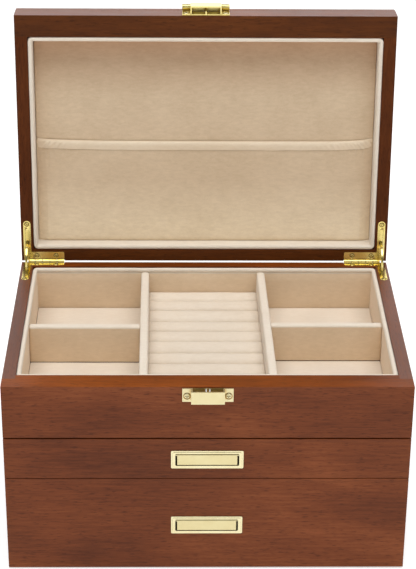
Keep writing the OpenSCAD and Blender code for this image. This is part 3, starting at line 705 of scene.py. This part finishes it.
def loft(name, section_at, length_steps, material, body):
    """A closed solid through a row of end views. section_at(t) gives the points at t from 0 to 1."""
    points = []
    columns = 0
    for k in range(length_steps + 1):
        ring = section_at(k / length_steps)
        columns = len(ring)
        points += ring
    faces = grid_faces(length_steps + 1, columns)
    faces.append(tuple(range(columns)))
    faces.append(tuple(length_steps * columns + i for i in reversed(range(columns))))
    return make_piece(name, points, faces, material, body)


def tucked(section, t, length, z0, z1):
    """An end view with the cloth drawn in and its top let down a little near the board's two ends."""
    end = min(t, 1.0 - t) * length
    tuck = max(0.0, 1.0 - end / TUCK_LENGTH) ** 2
    return [(across * (1.0 - 0.12 * tuck), z - 0.5 * MM * tuck * (z - z0) / (z1 - z0))
            for across, z in section]


def softened(points, scale, amount, seed):
    """Points with their soft offsets added."""
    return [point + wobble(point, scale, amount, seed) for point in points]


def main_divider(node, seed):
    """A padded divider from the tray's front wall to its back wall."""
    low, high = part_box(node)
    section = board_section((high.x - low.x) / 2, low.z, high.z)

    def section_at(t):
        y = low.y + (high.y - low.y) * t
        middle = divider_middle(node, y)
        view = tucked(section, t, high.y - low.y, low.z, high.z)
        return softened([Vector((middle + x, y, z)) for x, z in view], BOARD_WOBBLE, BOARD_SOFT, seed)

    board = loft(f"{node}_padded", section_at, 90, PIPING, "case")
    paint_walls(board, SUEDE, high.z - PIPED_TOP)
    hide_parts(node)


def cross_divider(node, beside, seed):
    """A short divider from the tray's side wall to a main divider."""
    low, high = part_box(node)
    middle = (low.y + high.y) / 2
    side = 1.0 if low.x > 0 else -1.0
    main_low, main_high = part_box(beside)
    inner = divider_middle(beside, middle) + side * (main_high.x - main_low.x) / 2
    outer = high.x if side > 0 else low.x
    section = board_section((high.y - low.y) / 2, low.z, high.z)

    def section_at(t):
        x = inner + (outer - inner) * t
        view = tucked(section, t, abs(outer - inner), low.z, high.z)
        return softened([Vector((x, middle + y, z)) for y, z in view], BOARD_WOBBLE, BOARD_SOFT, seed)

    board = loft(f"{node}_padded", section_at, 50, PIPING, "case")
    # painted shade on the cross divider's faces under its top
    paint_walls(board, SUEDE_WALL_SHADED, high.z - PIPED_TOP)
    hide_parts(node)


ROLLS = 10
ROLL_GAP = 0.3 * MM
ROLL_UNEVEN = 0.9 * MM         # how far the lines between the rolls wander
ROLL_RISE = 0.5 * MM           # and the rolls' tops
ROLL_TUCK_LENGTH = 2.0 * MM    # a roll's top turns down over this length at each end


def make_ring_rolls():
    """Foam rolls in suede, packed by hand, so that no two are quite the same width."""
    low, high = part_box("ring_rolls")
    half_divider = (left_div[1].x - left_div[0].x) / 2
    pitch = (high.y - low.y + ROLL_GAP) / ROLLS
    edges = [low.y - ROLL_GAP / 2 + pitch * i for i in range(ROLLS + 1)]
    for i in range(1, ROLLS):
        edges[i] += ROLL_UNEVEN * math.sin(i * 2.4 + 0.6)
    for index in range(ROLLS):
        middle = (edges[index] + edges[index + 1]) / 2
        radius = (edges[index + 1] - edges[index] - ROLL_GAP) / 2
        x0 = divider_middle("left_divider", middle) + half_divider
        x1 = divider_middle("right_divider", middle) - half_divider
        make_roll(index, middle, radius, x0, x1, low.z, high.z + ROLL_RISE * math.sin(index * 1.9))


def make_roll(index, middle, radius, x0, x1, z0, z1):
    """One roll from divider to divider: straight sides and a rounded top."""
    round_steps = 18
    top_h = 0.72 * radius
    shoulder = z1 - top_h

    def section_at(t):
        x = x0 + (x1 - x0) * t
        end = min(t, 1.0 - t) * (x1 - x0)
        tuck = max(0.0, 1.0 - end / ROLL_TUCK_LENGTH) ** 2
        view = [(radius, z0)]
        for step in range(round_steps + 1):
            angle = math.pi * step / round_steps
            rise = top_h * math.sin(angle) ** 0.8 * (1.0 - 0.18 * tuck)
            view.append((radius * math.cos(angle), shoulder + rise))
        view.append((-radius, z0))
        points = [Vector((x, middle + y, z)) for y, z in view]
        return softened(points, PAD_WOBBLE, ROLL_SOFT, index * 2.3)

    roll = loft(f"ring_roll_{index + 1}", section_at, 60, SUEDE, "case")
    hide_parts("ring_rolls")


make_tray_lining()
for seed, side in enumerate(("left", "right")):
    main_divider(f"{side}_divider", seed * 3.3)
    cross_divider(f"{side}_cross_divider", f"{side}_divider", 7.0 + seed * 3.3)
make_ring_rolls()


# ---------- lining and pocket of the lid ----------

LID_LINER_LOW, LID_LINER_HIGH = closed_box("lid_liner")
POCKET_LOW, POCKET_HIGH = closed_box("lid_pocket")
LID_SKIN = 3.0 * MM
LID_LINING_LIFT = 0.5 * MM
LID_ROLL_PROUD = 0.8 * MM


def make_lid_lining():
    """The lid's rolled edge and padded panel, upside down: its open side faces down when it is shut."""
    low, high = LID_LINER_LOW, LID_LINER_HIGH
    upright = rolled_wall_profile(LINER_T, low.z + LID_LINING_LIFT, high.z + LID_ROLL_PROUD)
    profile = [(inset, low.z + high.z - height) for inset, height in upright]
    box = (low.x, high.x, low.y, high.y)
    lining = sweep_round_box("lid_lining", box, profile, LINING_CORNER, PIPING, "lid", WALL_SOFT, 5.0,
                             lid=True)
    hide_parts("lid_liner")
    inner = (low.x + LINER_T, high.x - LINER_T, low.y + LINER_T, high.y - LINER_T)
    panel = pad("lid_padded_panel", inner, high.z - PAD_LIFT, high.z - LID_SKIN, SUEDE_LID_SHADED, "lid",
                crown=0.0, edge=0.9 * MM, seed=9.0, lid=True, cells=(60, 44))
    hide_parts("lid_liner")


POCKET_COLUMNS = 480
POCKET_ROWS = 44
POCKET_TUCK = 0.8 * MM      # its foot runs this far in behind the rolled edge
POCKET_BACK = 0.15 * MM     # the sewn edges stand this far off the lining's face
CLOTH_THICK = 0.4 * MM
SEWN = 0.03                 # the share of the width over which each sewn end lifts off
HEM_WIDE = 7.6 * MM
FOLD_LEAN = 0.022           # the hem's gathers lean in towards the two sewn corners
HEM_RING = 20


def pocket_lift(u):
    """How free the cloth is of the sewn ends: 0 at the ends, 1 between them."""
    return min(min(u, 1.0 - u) / SEWN, 1.0)


def pocket_mouth(u):
    """How far the mouth has sagged towards the hinge, u from 0 at the left end to 1 at the right."""
    return MM * (2.9 - 2.2 * math.exp(-u / 0.10) - 2.9 * math.exp(-(1.0 - u) / 0.045))


def pocket_pucker(u):
    """Gathers of the elastic mouth: strong beside the two sewn ends, faint between them."""
    left, right = 1.5 * math.exp(-u / 0.06), 1.7 * math.exp(-(1.0 - u) / 0.07)
    ripple = math.sin(u * 450.0 + 2.5 * math.sin(u * 47.0)) * 0.6 + noise.noise(Vector((u * 90.0, 0.0, 2.0)))
    slow = noise.noise(Vector((u * 14.0, 5.0, 0.0)))
    return (left + right) * ripple, slow


def make_pocket():
    """The lid's fabric pocket: flat where it is sewn down, its mouth hemmed over elastic."""
    low, high = POCKET_LOW, POCKET_HIGH
    mouth_y = low.y
    width, height = high.x - low.x, high.y + POCKET_TUCK - mouth_y
    points = []
    for j in range(POCKET_ROWS + 1):
        v = (j / POCKET_ROWS) ** 1.3          # rows crowd towards the mouth
        for i in range(POCKET_COLUMNS + 1):
            u = i / POCKET_COLUMNS
            gather, slow = pocket_pucker(u)
            y = mouth_y + pocket_mouth(u) * math.exp(-v * 6.0) + height * v
            past_hem = max(0.0, y - mouth_y - pocket_mouth(u) - HEM_WIDE)
            bag = min(max((v - 0.25) / 0.6, 0.0), 1.0)
            stand = (0.9 + 1.9 * bag * bag * (3.0 - 2.0 * bag)) * MM
            crease = 0.5 * MM * math.exp(-(past_hem / (1.6 * MM)) ** 2)
            fold = (0.5 * gather + 0.3 * slow) * MM * math.exp(-past_hem / (9.0 * MM))
            foot = min(0.45 + (1.0 - v) / 0.05, 1.0)
            z = high.z - POCKET_BACK - (stand - crease + fold) * pocket_lift(u) * foot
            points.append((low.x + width * u, y, z))
    faces = grid_faces(POCKET_ROWS + 1, POCKET_COLUMNS + 1)
    pocket = make_piece("lid_pocket_cloth", points, faces, SUEDE_LID_SHADED, "lid", lid=True)
    solid = pocket.modifiers.new("cloth", "SOLIDIFY")
    solid.thickness = CLOTH_THICK
    solid.offset = 0.0
    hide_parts("lid_pocket")

    # the hem: a band of doubled cloth, full at its top edge and sewn down flat along its foot
    points = []
    for i in range(POCKET_COLUMNS + 1):
        u = i / POCKET_COLUMNS
        lean = FOLD_LEAN * (1.0 if u < 0.5 else -1.0)
        top = mouth_y + pocket_mouth(u)
        for k in range(HEM_RING):
            angle = 2 * math.pi * k / HEM_RING
            down = (1.0 - math.cos(angle)) / 2          # 0 at the mouth, 1 at the seam
            gather, slow = pocket_pucker(u + lean * down)
            full = math.sin(angle) * (2.3 - 1.9 * down)
            ripple = 1.5 * gather * math.sin(math.pi * down) + 0.25 * slow
            y = top + HEM_WIDE * down * (1.0 + 0.05 * slow) + 0.25 * MM * gather * down
            stand = 1.2 + full + ripple * max(math.sin(angle), 0.0)
            z = high.z - POCKET_BACK - stand * pocket_lift(u) * MM
            points.append((low.x + width * u, y, z))
    faces = grid_faces(POCKET_COLUMNS + 1, HEM_RING, wrap=True)
    hem = make_piece("lid_pocket_hem", points, faces, SUEDE_HEM_LIT, "lid", lid=True)


make_lid_lining()
make_pocket()


# ---------- linings of the drawers ----------

DRAWER_LINER_T = 2.2 * MM
DRAWER_CORNER = 1.5 * MM
DRAWER_PAD_INSET = 2.5 * MM


def make_drawer_lining(tier):
    """A drawer's padded walls with their rolled edge, and its floor pad."""
    low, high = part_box(f"{tier}_drawer_liner")
    body = f"{tier}_drawer"
    profile = rolled_wall_profile(DRAWER_LINER_T, low.z + LINING_LIFT, high.z)
    box = (low.x, high.x, low.y, high.y)
    walls = sweep_round_box(f"{tier}_drawer_lining", box, profile, DRAWER_CORNER, SUEDE, body, PAD_SOFT, 11.0)
    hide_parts(f"{tier}_drawer_liner")
    inset = DRAWER_PAD_INSET
    box = (low.x + inset, high.x - inset, low.y + inset, high.y - inset)
    floor = pad(f"{tier}_drawer_floor_pad", box, low.z + PAD_LIFT, low.z + FLOOR_SKIN, SUEDE, body,
                crown=0.4 * MM, edge=1.4 * MM, seed=13.0, cells=(60, 40))
    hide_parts(f"{tier}_drawer_liner")


make_drawer_lining("upper")
make_drawer_lining("lower")


# ---------- stage ----------

make_camera()
make_studio()
